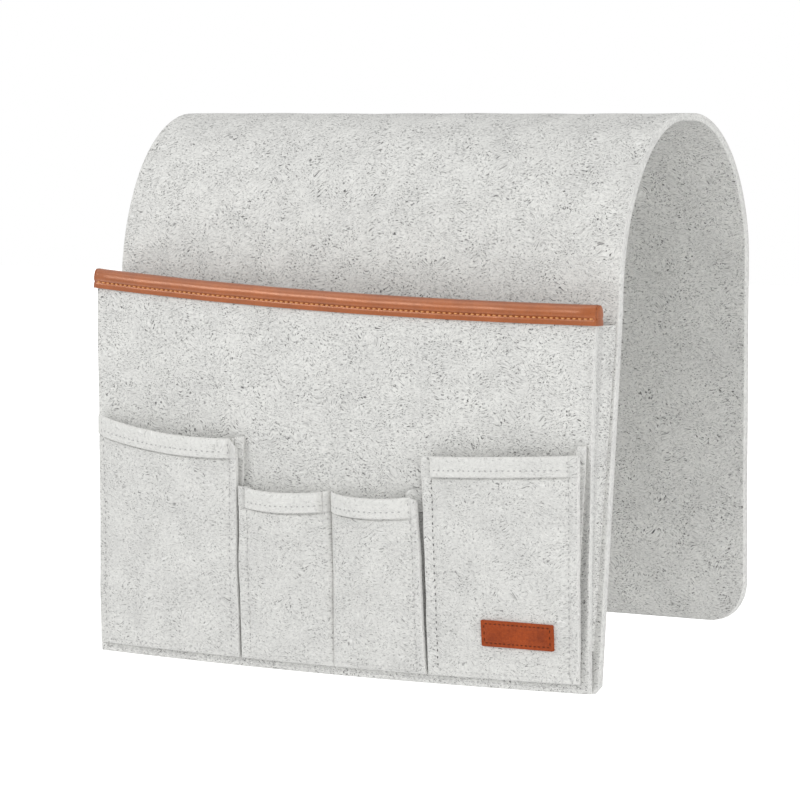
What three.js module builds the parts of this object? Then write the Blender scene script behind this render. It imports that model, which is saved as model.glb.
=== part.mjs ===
// A felt caddy that saddles a sofa arm or a bed rail: one sheet of felt arched over the arm,
// a gusseted pocket across the front with a leather-bound mouth, and smaller pockets sewn onto it.
// X runs along the width, -Y is the pocket side, +Z is up, and lengths are in millimetres.
// The origin is on the underside of the arch's crown, where the felt lies on the arm.
import * as THREE from "three";

// Felt, leather and the clearance between layers that are sewn together
const BODY_FELT = 4;
const PANEL_FELT = 3;
const POCKET_FELT = 2.6;
const GUSSET_FELT = 2.6;
const TRIM_LEATHER = 1.4;
const LABEL_LEATHER = 1.4;
const SEAM_GAP = 0.3;

// The arch, measured on the outside of the felt from the middle of the crown
const CROWN_FLAT = 10;
const ARCH_FRONT_DEPTH = 65;
const ARCH_BACK_DEPTH = 59;
const ARCH_FRONT_RISE = 92;
const ARCH_BACK_RISE = 76;
const ARCH_POWER = 1.9;

// The front drop stands away from the arm, easing into a straight lean below the crown
const LEAN_START = 64;
const LEAN_EASE = 60;
const LEAN_SLOPE = 0.093;

// The back flap hangs from the arch's back spring line
const FLAP_LENGTH = 200;
const FLAP_CORNER_RADIUS = 22;

// The large front pocket
const MOUTH_BELOW_CROWN = 93.5;
const MOUTH_TILT = 12;
const MOUTH_SAG = 2.7;
const PANEL_HEIGHT = 208;
const PANEL_FLARE = 7;
const PANEL_BULGE = 7.5;
const PANEL_BOTTOM_SAG = 2;
const SIDE_REVEAL = 3.3;
const GUSSET_DEPTH = 18;
const GUSSET_INSET = 1;
const CABLE_CORNER = 22;
const TRIM_HEIGHT = 10.2;
const TRIM_OVERHANG = 1.5;

// The small pockets, left to right
const LEFT_POCKET_WIDTH = 102;
const LEFT_POCKET_HEIGHT = 129;
const LEFT_POCKET_FALL = 8;
const LEFT_POCKET_SAG = 3;
const LEFT_POCKET_FLARE = 4.3;
const LEFT_POCKET_DEPTH = 2.5;
const COMPARTMENT_WIDTH = 63;
const MIDDLE_POCKET_HEIGHT = 95.5;
const MIDDLE_POCKET_SAG = 2;
const MIDDLE_POCKET_TUCK = 2.5;
const MIDDLE_POCKET_LEFT_DEPTH = 5.5;
const MIDDLE_POCKET_RIGHT_DEPTH = 3;
const RIGHT_POCKET_WIDTH = 97;
const RIGHT_POCKET_HEIGHT = 117;
const RIGHT_POCKET_RISE = 3;
const RIGHT_POCKET_FLARE = 3;
const RIGHT_POCKET_DEPTH = 2.5;
const POCKET_SPACING = 1.7;
const RIGHT_MARGIN = 5;
const BOTTOM_SEAM = 5;
const POCKET_BULGE = 9;
const HEM_HEIGHT = 10.5;
const SIDE_FLANGE = 4.5;
const GUSSET_SPLAY = 4.2;
const GUSSET_PEAK = 5;
const GUSSET_TIP = 1;

// The label patch on the right pocket
const LABEL_WIDTH = 45;
const LABEL_HEIGHT = 14;
const LABEL_CORNER = 0.8;
const LABEL_FROM_LEFT = 60;
const LABEL_ABOVE_BASE = 24.5;

// Exponents that shape the swell of the felt
const PANEL_SWELL_ACROSS = 1.4;
const PANEL_SWELL_UP = 1.2;
const POCKET_SWELL_ACROSS = 0.6;
const POCKET_SWELL_UP = 0.85;

// Facet counts
const DROP_STEPS = 10;
const ARCH_STEPS = 14;
const PANEL_COLUMNS = 24;
const PANEL_ROWS = 10;
const POCKET_COLUMNS = 12;
const POCKET_ROWS = 8;
const GUSSET_ROWS = 6;
const FLAP_CORNER_STEPS = 8;
const LABEL_COLUMNS = 6;
const LABEL_ROWS = 3;

const felt = new THREE.MeshStandardMaterial({ color: 0xc9c8c3, roughness: 0.95, metalness: 0 });
const trimLeather = new THREE.MeshStandardMaterial({ color: 0xa4551f, roughness: 0.4, metalness: 0 });
const labelLeather = new THREE.MeshStandardMaterial({ color: 0x9a4722, roughness: 0.55, metalness: 0 });

// Levels and widths that follow from the driving dimensions
const CROWN_TOP = BODY_FELT;
const FRONT_SPRING = CROWN_TOP - ARCH_FRONT_RISE;
const BACK_SPRING = CROWN_TOP - ARCH_BACK_RISE;
const MOUTH_LEVEL = CROWN_TOP - MOUTH_BELOW_CROWN;
const PANEL_BOTTOM = MOUTH_LEVEL - PANEL_HEIGHT;
const MIDDLE_POCKET_WIDTH = 2 * COMPARTMENT_WIDTH;
const POCKET_ROW_WIDTH =
  LEFT_POCKET_WIDTH + MIDDLE_POCKET_WIDTH + RIGHT_POCKET_WIDTH + 2 * POCKET_SPACING + RIGHT_MARGIN;
const PANEL_BOTTOM_HALF = POCKET_ROW_WIDTH / 2;
const PANEL_TOP_HALF = PANEL_BOTTOM_HALF + PANEL_FLARE / 2;
const BODY_HALF = PANEL_BOTTOM_HALF + SIDE_REVEAL;

const { lerp, clamp, smoothstep } = THREE.MathUtils;

function spread(from, to, count) {
  return Array.from({ length: count + 1 }, (_, i) => lerp(from, to, i / count));
}

function point(x, y, z) {
  return new THREE.Vector3(x, y, z);
}

function seenAlongX(loop) {
  return loop.map((p) => new THREE.Vector2(p.y, p.z));
}

// A closed solid through loops of points, one at each station in order of X, capped at both ends.
function loft(stations, loopAt) {
  const loops = stations.map((station) => {
    const loop = loopAt(station);
    return THREE.ShapeUtils.area(seenAlongX(loop)) > 0 ? loop : loop.reverse();
  });
  const size = loops[0].length;
  const last = (loops.length - 1) * size;
  const index = [];
  for (let start = 0; start < last; start += size) {
    for (let i = 0; i < size; i++) {
      const a = start + i;
      const b = start + ((i + 1) % size);
      index.push(a, b, b + size, a, b + size, a + size);
    }
  }
  for (const [a, b, c] of THREE.ShapeUtils.triangulateShape(seenAlongX(loops[0]), [])) {
    index.push(a, c, b);
  }
  for (const [a, b, c] of THREE.ShapeUtils.triangulateShape(seenAlongX(loops.at(-1)), [])) {
    index.push(last + a, last + b, last + c);
  }
  const geometry = new THREE.BufferGeometry().setFromPoints(loops.flat());
  geometry.setIndex(index);
  geometry.computeVertexNormals();
  return geometry;
}

function part(name, geometry, material) {
  const mesh = new THREE.Mesh(geometry, material);
  mesh.name = name;
  return mesh;
}

// How far the front drop has leaned out at a height
function lean(z) {
  const below = Math.max(CROWN_TOP - LEAN_START - z, 0);
  const eased = Math.min(below, LEAN_EASE);
  return LEAN_SLOPE * (eased * eased / (2 * LEAN_EASE) + below - eased);
}

// The outside of the body's front at a height
function bodyFront(z) {
  const up = clamp((z - FRONT_SPRING) / ARCH_FRONT_RISE, 0, 1);
  const reach = ARCH_FRONT_DEPTH - CROWN_FLAT / 2;
  return -CROWN_FLAT / 2 - reach * (1 - up ** ARCH_POWER) ** (1 / ARCH_POWER) - lean(z);
}

// A quarter of the arch from its spring line to the crown, as distances from the crown's middle
function archQuarter(depth, rise, inset) {
  const power = 2 / ARCH_POWER;
  return spread(0, Math.PI / 2, ARCH_STEPS).map((angle) => ({
    out: CROWN_FLAT / 2 + (depth - CROWN_FLAT / 2 - inset) * Math.max(Math.cos(angle), 0) ** power,
    up: (rise - inset) * Math.sin(angle) ** power,
    outsideUp: rise * Math.sin(angle) ** power,
  }));
}

// The body's felt seen from its end, from the front's bottom edge over the crown to the back
function bodyCurve(inset) {
  const drop = spread(PANEL_BOTTOM, FRONT_SPRING, DROP_STEPS).slice(0, -1);
  const front = archQuarter(ARCH_FRONT_DEPTH, ARCH_FRONT_RISE, inset);
  const back = archQuarter(ARCH_BACK_DEPTH, ARCH_BACK_RISE, inset).reverse();
  return [
    ...drop.map((z) => [bodyFront(z) + inset, z]),
    ...front.map(({ out, up, outsideUp }) => [-out - lean(FRONT_SPRING + outsideUp), FRONT_SPRING + up]),
    ...back.map(({ out, up }) => [out, BACK_SPRING + up]),
  ];
}

function bodySheet() {
  const outline = [...bodyCurve(0), ...bodyCurve(BODY_FELT).reverse()];
  return loft([-BODY_HALF, BODY_HALF], (x) => outline.map(([y, z]) => point(x, y, z)));
}

// The back flap is a plain rectangle of felt with its two lower corners rounded.
function backFlap() {
  const shape = new THREE.Shape();
  const r = FLAP_CORNER_RADIUS;
  shape.moveTo(-BODY_HALF, 0);
  shape.lineTo(-BODY_HALF, r - FLAP_LENGTH);
  shape.absarc(r - BODY_HALF, r - FLAP_LENGTH, r, Math.PI, 1.5 * Math.PI);
  shape.lineTo(BODY_HALF - r, -FLAP_LENGTH);
  shape.absarc(BODY_HALF - r, r - FLAP_LENGTH, r, 1.5 * Math.PI, 2 * Math.PI);
  shape.lineTo(BODY_HALF, 0);
  const geometry = new THREE.ExtrudeGeometry(shape, {
    depth: BODY_FELT,
    bevelEnabled: false,
    curveSegments: FLAP_CORNER_STEPS,
  });
  geometry.rotateX(Math.PI / 2);
  geometry.translate(0, ARCH_BACK_DEPTH, BACK_SPRING - SEAM_GAP);
  return geometry;
}

// The front panel is described by u, from -1 at its left edge to 1 at its right, and by height.
function panelHalf(z) {
  return lerp(PANEL_BOTTOM_HALF, PANEL_TOP_HALF, (z - PANEL_BOTTOM) / PANEL_HEIGHT);
}

function mouthTop(u) {
  return MOUTH_LEVEL - MOUTH_TILT * u / 2 - MOUTH_SAG * (1 - u * u);
}

function panelBottom(u) {
  return PANEL_BOTTOM - PANEL_BOTTOM_SAG * (1 - u * u);
}

function panelTop(u) {
  return mouthTop(u) - TRIM_LEATHER - SEAM_GAP;
}

// The panel is sewn to the body along its bottom and stands a gusset's depth off it at the mouth.
function panelBack(u, z) {
  const v = (z - PANEL_BOTTOM) / PANEL_HEIGHT;
  const sewn = bodyFront(PANEL_BOTTOM) - SEAM_GAP;
  const edge = lerp(sewn, bodyFront(MOUTH_LEVEL) - GUSSET_DEPTH, v);
  const across = Math.max(1 - u * u, 0) ** PANEL_SWELL_ACROSS;
  return edge - PANEL_BULGE * across * Math.max(v, 0) ** PANEL_SWELL_UP;
}

function panelFront(x, z) {
  return panelBack(x / panelHalf(z), z) - PANEL_FELT;
}

function largePocketFront() {
  return loft(spread(-1, 1, PANEL_COLUMNS), (u) => {
    const rows = spread(panelBottom(u), panelTop(u), PANEL_ROWS);
    const back = rows.map((z) => point(u * panelHalf(z), panelBack(u, z), z));
    const front = back.map((p) => point(p.x, p.y - PANEL_FELT, p.z));
    return [...back, ...front.reverse()];
  });
}

// A side gusset is a wedge of felt that stops above the bottom seam, leaving a corner for cables.
function largePocketGusset(side) {
  const edges = [GUSSET_INSET + GUSSET_FELT, GUSSET_INSET];
  const top = mouthTop(side) - TRIM_HEIGHT - SEAM_GAP;
  const rows = spread(PANEL_BOTTOM + CABLE_CORNER, top, GUSSET_ROWS);
  return loft(side > 0 ? edges : edges.reverse(), (inset) => {
    const x = (z) => side * (panelHalf(z) - inset);
    const onBody = rows.map((z) => point(x(z), bodyFront(z) - SEAM_GAP, z));
    const onPanel = rows.map((z) => point(x(z), panelBack(x(z) / panelHalf(z), z) + SEAM_GAP, z));
    return [...onBody, ...onPanel.reverse()];
  });
}

// The leather binding folds over the panel's top edge and runs a little past both ends.
function mouthTrim() {
  const half = PANEL_TOP_HALF + TRIM_OVERHANG;
  return loft(spread(-half, half, PANEL_COLUMNS), (x) => {
    const u = x / PANEL_TOP_HALF;
    const top = mouthTop(u);
    const bottom = top - TRIM_HEIGHT;
    const shoulder = top - TRIM_LEATHER;
    const outside = SEAM_GAP + TRIM_LEATHER;
    const behind = (z, away) => point(x, panelBack(u, z) + away, z);
    const before = (z, away) => point(x, panelBack(u, z) - PANEL_FELT - away, z);
    return [
      before(bottom, outside),
      before(shoulder, outside),
      before(top, SEAM_GAP),
      behind(top, SEAM_GAP),
      behind(shoulder, outside),
      behind(bottom, outside),
      behind(bottom, SEAM_GAP),
      behind(shoulder, SEAM_GAP),
      before(shoulder, SEAM_GAP),
      before(bottom, SEAM_GAP),
    ];
  });
}

// The small pockets stand side by side from the panel's left edge. A place across a pocket is a share of
// its width, and the shifts move its side edges at the mouth. A compartment's depths are those of its two
// sides at the mouth, and a side with no depth is sewn flat to the panel.
const LEFT_EDGE = -PANEL_BOTTOM_HALF;
const MIDDLE_EDGE = LEFT_EDGE + LEFT_POCKET_WIDTH + POCKET_SPACING;
const RIGHT_EDGE = MIDDLE_EDGE + MIDDLE_POCKET_WIDTH + POCKET_SPACING;

const leftPocket = {
  left: LEFT_EDGE,
  width: LEFT_POCKET_WIDTH,
  shifts: [0, LEFT_POCKET_FLARE],
  heights: [LEFT_POCKET_HEIGHT, LEFT_POCKET_HEIGHT - LEFT_POCKET_FALL],
  sag: LEFT_POCKET_SAG,
  compartments: [[0, LEFT_POCKET_DEPTH]],
};
const middlePocket = {
  left: MIDDLE_EDGE,
  width: MIDDLE_POCKET_WIDTH,
  shifts: [MIDDLE_POCKET_TUCK, 0],
  heights: [MIDDLE_POCKET_HEIGHT, MIDDLE_POCKET_HEIGHT],
  sag: MIDDLE_POCKET_SAG,
  compartments: [
    [MIDDLE_POCKET_LEFT_DEPTH, 0],
    [0, MIDDLE_POCKET_RIGHT_DEPTH],
  ],
};
const rightPocket = {
  left: RIGHT_EDGE,
  width: RIGHT_POCKET_WIDTH,
  shifts: [0, RIGHT_POCKET_FLARE],
  heights: [RIGHT_POCKET_HEIGHT, RIGHT_POCKET_HEIGHT + RIGHT_POCKET_RISE],
  sag: 0,
  compartments: [[RIGHT_POCKET_DEPTH, RIGHT_POCKET_DEPTH]],
};

function pocketBase(pocket, share) {
  return panelBottom((pocket.left + share * pocket.width) / PANEL_BOTTOM_HALF) + BOTTOM_SEAM;
}

// The depths of the compartment at a place across a pocket, and how far along it that place is
function compartmentAt(pocket, share) {
  const count = pocket.compartments.length;
  const index = Math.min(Math.floor(share * count), count - 1);
  return { depths: pocket.compartments[index], along: clamp(share * count - index, 0, 1) };
}

// The mouth of each compartment sags between its two sides.
function pocketHeight(pocket, share) {
  const [first, last] = pocket.heights;
  const { along } = compartmentAt(pocket, share);
  return lerp(first, last, share) - pocket.sag * 4 * along * (1 - along);
}

function pocketTop(pocket, share) {
  return pocketBase(pocket, share) + pocketHeight(pocket, share);
}

// How far up the pocket a height is, from 0 at its base to 1 at its mouth
function pocketRise(pocket, share, z) {
  return clamp((z - pocketBase(pocket, share)) / pocketHeight(pocket, share), 0, 1);
}

function pocketX(pocket, share, z) {
  const [leftShift, rightShift] = pocket.shifts;
  const shift = lerp(leftShift, rightShift, share) * pocketRise(pocket, share, z);
  return pocket.left + share * pocket.width + shift;
}

// How far the pocket's mouth stands off the panel at a place along its hem
function mouthDepth(pocket, share) {
  const { depths, along } = compartmentAt(pocket, share);
  const edge = lerp(depths[0], depths[1], smoothstep(along, 0, 1));
  return edge + POCKET_BULGE * (4 * along * (1 - along)) ** POCKET_SWELL_ACROSS;
}

function pocketBack(pocket, share, z) {
  const swell = mouthDepth(pocket, share) * pocketRise(pocket, share, z) ** POCKET_SWELL_UP;
  return panelFront(pocketX(pocket, share, z), z) - SEAM_GAP - swell;
}

// The two faces of a pocket's side gusset where it meets the front, as shares in order of X
function gussetFaces(pocket, side) {
  const flange = SIDE_FLANGE / pocket.width;
  const outer = side > 0 ? 1 - flange : flange;
  return [outer, outer - side * GUSSET_FELT / pocket.width].sort((a, b) => a - b);
}

// A pocket's front is hemmed: its top edge is folded out and down over itself. Its facets meet the
// gussets along the gussets' own faces.
function pocketFront(pocket) {
  const columns = spread(0, 1, POCKET_COLUMNS * pocket.compartments.length);
  const stations = [...columns, ...gussetFaces(pocket, -1), ...gussetFaces(pocket, 1)];
  stations.sort((a, b) => a - b);
  return loft(stations, (share) => {
    const base = pocketBase(pocket, share);
    const top = pocketTop(pocket, share);
    const hem = top - HEM_HEIGHT;
    const layer = (z, felts) =>
      point(pocketX(pocket, share, z), pocketBack(pocket, share, z) - felts * POCKET_FELT, z);
    return [
      ...spread(base, top, POCKET_ROWS).map((z) => layer(z, 0)),
      layer(top, 2),
      layer(hem, 2),
      ...spread(hem, base, POCKET_ROWS - 1).map((z) => layer(z, 1)),
    ];
  });
}

// A pocket's gusset closes its side, tapering to a tip above the base. It splays out towards the panel,
// and a right-hand one peaks there.
function pocketGusset(pocket, side) {
  const peak = side > 0 ? GUSSET_PEAK : 0;
  return loft(gussetFaces(pocket, side), (share) => {
    const tipDepth = GUSSET_TIP + 2 * SEAM_GAP;
    const tipRise = (tipDepth / mouthDepth(pocket, share)) ** (1 / POCKET_SWELL_UP);
    const tip = pocketBase(pocket, share) + pocketHeight(pocket, share) * tipRise;
    const top = pocketTop(pocket, share);
    const onPanel = (z) => {
      const x = pocketX(pocket, share, z) + side * GUSSET_SPLAY * pocketRise(pocket, share, z);
      return point(x, panelFront(x, z) - SEAM_GAP, z);
    };
    const onPocket = (z) => point(pocketX(pocket, share, z), pocketBack(pocket, share, z) + SEAM_GAP, z);
    return [
      ...spread(tip, top + peak, GUSSET_ROWS).map(onPanel),
      ...spread(top, tip, GUSSET_ROWS).map(onPocket),
    ];
  });
}

// The label is a strip of leather with its corners trimmed, lying on the right pocket's front.
function labelPatch() {
  const half = LABEL_WIDTH / 2;
  const inside = half - LABEL_CORNER;
  const middle = pocketBase(rightPocket, LABEL_FROM_LEFT / rightPocket.width) + LABEL_ABOVE_BASE;
  return loft([-half, ...spread(-inside, inside, LABEL_COLUMNS), half], (across) => {
    const share = (LABEL_FROM_LEFT + across) / rightPocket.width;
    const reach = LABEL_HEIGHT / 2 - Math.max(Math.abs(across) - inside, 0);
    const rows = spread(middle - reach, middle + reach, LABEL_ROWS);
    const layer = (z, away) =>
      point(pocketX(rightPocket, share, z), pocketBack(rightPocket, share, z) - POCKET_FELT - away, z);
    return [
      ...rows.map((z) => layer(z, SEAM_GAP)),
      ...rows.reverse().map((z) => layer(z, SEAM_GAP + LABEL_LEATHER)),
    ];
  });
}

const caddy = new THREE.Group();
caddy.add(
  part("body_sheet", bodySheet(), felt),
  part("back_flap", backFlap(), felt),
  part("large_pocket_front", largePocketFront(), felt),
  part("large_pocket_gusset_left", largePocketGusset(-1), felt),
  part("large_pocket_gusset_right", largePocketGusset(1), felt),
  part("mouth_trim", mouthTrim(), trimLeather),
  part("left_pocket_front", pocketFront(leftPocket), felt),
  part("left_pocket_gusset", pocketGusset(leftPocket, 1), felt),
  part("middle_pocket_front", pocketFront(middlePocket), felt),
  part("middle_pocket_gusset_left", pocketGusset(middlePocket, -1), felt),
  part("middle_pocket_gusset_right", pocketGusset(middlePocket, 1), felt),
  part("right_pocket_front", pocketFront(rightPocket), felt),
  part("right_pocket_gusset_left", pocketGusset(rightPocket, -1), felt),
  part("right_pocket_gusset_right", pocketGusset(rightPocket, 1), felt),
  part("label_patch", labelPatch(), labelLeather),
);

export default caddy;
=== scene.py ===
"""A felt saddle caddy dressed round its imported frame: sewn felt, leather binding and stitching.

X runs along the width, -Y is the pocket side and +Z is up. The shapes are worked out in millimetres,
as the frame's solids are, and become metres where a mesh is made.
"""

import math
from dataclasses import dataclass

import bpy
import numpy as np
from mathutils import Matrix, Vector


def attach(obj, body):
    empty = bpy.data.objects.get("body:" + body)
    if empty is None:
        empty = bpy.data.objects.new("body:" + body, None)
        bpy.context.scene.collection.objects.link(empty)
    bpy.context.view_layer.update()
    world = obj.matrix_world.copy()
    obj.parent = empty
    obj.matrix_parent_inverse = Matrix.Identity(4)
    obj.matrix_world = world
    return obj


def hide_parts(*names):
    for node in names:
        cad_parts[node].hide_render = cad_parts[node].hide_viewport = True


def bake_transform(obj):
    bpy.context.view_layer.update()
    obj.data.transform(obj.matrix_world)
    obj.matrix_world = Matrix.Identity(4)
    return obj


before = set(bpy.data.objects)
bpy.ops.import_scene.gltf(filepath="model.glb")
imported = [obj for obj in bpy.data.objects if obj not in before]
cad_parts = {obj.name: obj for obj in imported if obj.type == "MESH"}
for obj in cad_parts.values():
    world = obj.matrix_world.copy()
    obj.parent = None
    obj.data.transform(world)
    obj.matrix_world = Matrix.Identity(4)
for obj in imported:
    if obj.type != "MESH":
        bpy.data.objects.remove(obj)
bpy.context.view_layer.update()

MM = 0.001
TINY = 1e-9
FRONT = np.array([0.0, -1.0, 0.0])

# Felt, leather and the clearance between layers that are sewn together
BODY_FELT = 4.0
PANEL_FELT = 3.0
POCKET_FELT = 2.6
GUSSET_FELT = 2.6
POCKET_GUSSET_FELT = 1.5
TRIM_LEATHER = 1.4
LABEL_LEATHER = 1.4
SEAM_GAP = 0.3
SEWN_GAP = 0.03

# How far the cut edges are rounded, and the most of a sheet that this takes
BODY_EDGE = 0.5
FELT_EDGE = 0.45
TRIM_EDGE = 0.4
THIN_EDGE = 0.3
EDGE_SHARE = 0.45

# The arch, the front drop and the fold above the flap
CROWN_FLAT = 10.0
ARCH_FRONT_DEPTH = 65.0
ARCH_BACK_DEPTH = 59.0
ARCH_FRONT_RISE = 92.0
ARCH_BACK_RISE = 76.0
ARCH_POWER = 1.9
LEAN_START = 64.0
LEAN_EASE = 60.0
LEAN_SLOPE = 0.093
FLAP_LENGTH = 200.0
FLAP_CORNER_RADIUS = 22.0
BODY_CORNER_CUT = 4.0

# How uneven the felt lies: heights and lengths of its waves, and where they set in
FELT_WAVES = (120.0, 74.0, 46.0)
BODY_SEED = 5
BODY_UNEVEN = 0.35
BODY_UNEVEN_START = 205.0
BODY_UNEVEN_EASE = 60.0
FLAP_SEED = 23
FLAP_UNEVEN = 1.6
FLAP_UNEVEN_START = 430.0
FLAP_UNEVEN_EASE = 220.0
FLAP_WAVES = (330.0, 210.0)
PANEL_SEED = 11
PANEL_UNEVEN = 0.7
PANEL_CALM_FOOT = 0.25
POCKET_UNEVEN = 0.5
POCKET_CALM_DEPTH = 4.0
POCKET_WAVES = (52.0, 37.0, 23.0)

# The large front pocket
MOUTH_BELOW_CROWN = 93.5
MOUTH_TILT = 12.0
MOUTH_SAG = 2.7
PANEL_HEIGHT = 208.0
PANEL_FLARE = 7.0
PANEL_BULGE = 7.5
PANEL_SWELL_ACROSS = 1.4
PANEL_SWELL_UP = 1.2
PANEL_BOTTOM_SAG = 2.0
PANEL_CURL = 2.0
PANEL_CURL_WIDTH = 2.6
PANEL_CURL_FOOT = 0.2
PANEL_CURL_EASE = 20.0
SIDE_REVEAL = 3.3
GUSSET_DEPTH = 18.0
GUSSET_INSET = 1.0
GUSSET_CREASE = 2.4
GUSSET_CREASE_POWER = 1.4
GUSSET_SEAMS = (("body", 0.14), ("panel", 0.86))
CABLE_CORNER = 22.0
BOTTOM_STITCH_RISE = 2.6
BOTTOM_STITCH_MARGIN = 3.0

# The leather trim along its mouth
TRIM_HEIGHT = 10.2
TRIM_OVERHANG = 1.5
TRIM_ROLL = 1.2
TRIM_ROLL_DROP = 4.9
TRIM_GROOVE = 0.6
TRIM_GROOVE_WIDTH = 0.8
TRIM_STITCH_DROP = 6.6
TRIM_STITCH_LIFT = 0.25
TRIM_TAPER = 9.0
TRIM_END = 1.0
TRIM_END_LEATHER = 0.7
TRIM_END_SWELL = 0.25
TRIM_END_INSET = 0.1
TRIM_END_GAP = 0.05
PANEL_TRIM_REACH = 0.3
PANEL_TRIM_EASE = 2.0

# The small pockets, left to right
LEFT_POCKET_WIDTH = 102.0
LEFT_POCKET_HEIGHTS = (129.0, 121.0)
LEFT_POCKET_SAG = 3.0
LEFT_POCKET_FLARE = 4.3
LEFT_POCKET_DEPTH = 0.5
MIDDLE_POCKET_WIDTH = 126.0
MIDDLE_POCKET_HEIGHTS = (95.5, 95.5)
MIDDLE_POCKET_SAG = 2.0
MIDDLE_POCKET_TUCK = 2.5
MIDDLE_POCKET_DEPTHS = (0.5, 0.5)
RIGHT_POCKET_WIDTH = 97.0
RIGHT_POCKET_HEIGHTS = (117.0, 120.0)
RIGHT_POCKET_FLARE = 3.0
RIGHT_POCKET_DEPTHS = (1.0, 1.5)
POCKET_SPACING = 1.7
RIGHT_MARGIN = 5.0
BOTTOM_SEAM = 5.0
POCKET_BULGE = 9.0
POCKET_SWELL_ACROSS = 0.6
POCKET_SWELL_UP = 0.85

# Their hems, and the divider of the middle pocket
HEM_HEIGHT = 11.0
HEM_LAYER_GAP = 0.15
HEM_LIFT = 0.2
HEM_LIFT_START = 0.6
HEM_PRESS = 0.3
HEM_END_PRESS = -0.3
HEM_END_EASE = 0.6
HEM_END_RISE = 14.0
HEM_NOTCH = 2.6
HEM_NOTCH_WIDTH = 0.32
HEM_CREASE = 0.7
HEM_CREASE_WIDTH = 0.45
NOTCH_FROM_DIVIDER = 4.0
DIVIDER_PRESS = 0.8
DIVIDER_FLAT = 1.0
DIVIDER_EASE = 7.0
DIVIDER_DENT = 1.3
DIVIDER_DENT_WIDTH = 0.9

# Their flanges and side seams
SIDE_FLANGE = 4.5
SEAM_INSET = 6.2
SEAM_DENT = 0.7
SEAM_DENT_WIDTH = 1.2
FLANGE_EASE = 0.15
FLANGE_PRESS = 0.94
LEFT_EDGE_PRESS = 0.7
LEFT_FLANGE_TRIMS = (2.0, 1.5)
MIDDLE_FLANGE_TRIMS = (1.0, 1.4)
RIGHT_FLANGE_TRIMS = (0.6, 0.0)
LEFT_CHAMFER = 4.5
MIDDLE_CHAMFER = 1.5
LEFT_GAP_SPREAD = 1.4
RIGHT_GAP_SPREAD = 0.9

# Their gussets
GUSSET_HEM = 12.0
GUSSET_SPLAY = 6.0
GUSSET_TIP = 0.4
GUSSET_PLEAT = 1.1
GUSSET_HEM_PLEAT = 0.33
GUSSET_PLEAT_EASE = 8.0
GUSSET_SLIMMING = 0.65
GUSSET_PEAK_START = 0.3
GUSSET_PEAK_EASE = 0.4
LEFT_GUSSET_PEAK = 1.0
MIDDLE_GUSSET_PEAK = 4.0
RIGHT_GUSSET_PEAK = 5.0

# Where their stitching runs
SEAM_ABOVE_BASE = 4.0
SEAM_BELOW_HEM = 0.4
HEM_SEAM_RISE = 0.8
HEM_SEAM_DROP = 1.6
HEM_STITCH_DROP = 7.4
HEM_STITCH_MARGIN = 2.5
BASE_STITCH_RISE = 2.8

# The label patch on the right pocket
LABEL_WIDTH = 45.0
LABEL_HEIGHT = 14.0
LABEL_CORNER = 0.8
LABEL_FROM_LEFT = 60.0
LABEL_ABOVE_BASE = 24.5
LABEL_SEAT = 0.05
LABEL_PILLOW = 0.3
LABEL_PILLOW_EASE = 2.5
LABEL_GROOVE = 0.22
LABEL_GROOVE_WIDTH = 0.7
LABEL_STITCH_INSET = 1.9
LABEL_STITCH_DIP = 0.1

# How fine the meshes are
BODY_STEP = 3.0
PANEL_STEP = 2.6
POCKET_STEP = 2.0
EDGE_SUPPORT = 1.2
LAP_STEP = 1.4
LAP_SUPPORT = 0.6
LABEL_STEP = 0.8
LABEL_SUPPORT = 0.4
TRIM_STEP = 0.5
TRIM_SUPPORT = 0.35
TRIM_TURN_STEPS = 20
TRIM_END_STEPS = 8
CORNER_STEPS = 14
FOLD_STEPS = 9
GUSSET_STEPS = 12
HEM_EDGE_STEPS = 12
HEM_EDGE_BELOW = 2.0
HEM_EDGE_ABOVE = 1.0
HEM_BEHIND_STEPS = 5
SEAM_COLUMNS = (-1.0, -0.5, -0.25, 0.0, 0.25, 0.5, 1.0)
SEAM_CLEAR_STEPS = 0.8
DROP_POINTS = 120
ARCH_POINTS = 90
LINE_POINTS = 80
STITCH_RINGS = 7
STITCH_SIDES = 6

# How a stitch bows: its rise and its dip in thread radii, its blunt tip and where its way is read
STITCH_RISE = 0.35
STITCH_DIP = 0.9
STITCH_TIP = 0.02
STITCH_AIM = 0.5

# Where each piece lies on the pattern of its felt or leather, so that no two look alike
PATTERN_AT = {
    "felt_body": (0.0, 0.0),
    "felt_front_panel": (700.0, 0.0),
    "felt_large_pocket_gusset_left": (1200.0, 100.0),
    "felt_large_pocket_gusset_right": (1600.0, 100.0),
    "felt_left_pocket": (1499.9, 200.0),
    "felt_middle_pocket": (1811.0, 200.0),
    "felt_right_pocket": (2194.1, 200.0),
    "felt_left_pocket_gusset": (1769.7, 400.0),
    "felt_middle_pocket_gusset_left": (2563.0, 400.0),
    "felt_middle_pocket_gusset_right": (2703.0, 400.0),
    "felt_right_pocket_gusset_left": (3712.3, 400.0),
    "felt_right_pocket_gusset_right": (3852.3, 400.0),
    "leather_mouth_trim": (0.0, 900.0),
    "trim_end_left": (60.0, 1460.0),
    "trim_end_right": (60.0, 1540.0),
    "leather_label": (0.0, 1300.0),
}
BACK_PATTERN_SHIFT = (520.0, 310.0)
RIM_PATTERN_SHIFT = -60.0

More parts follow.
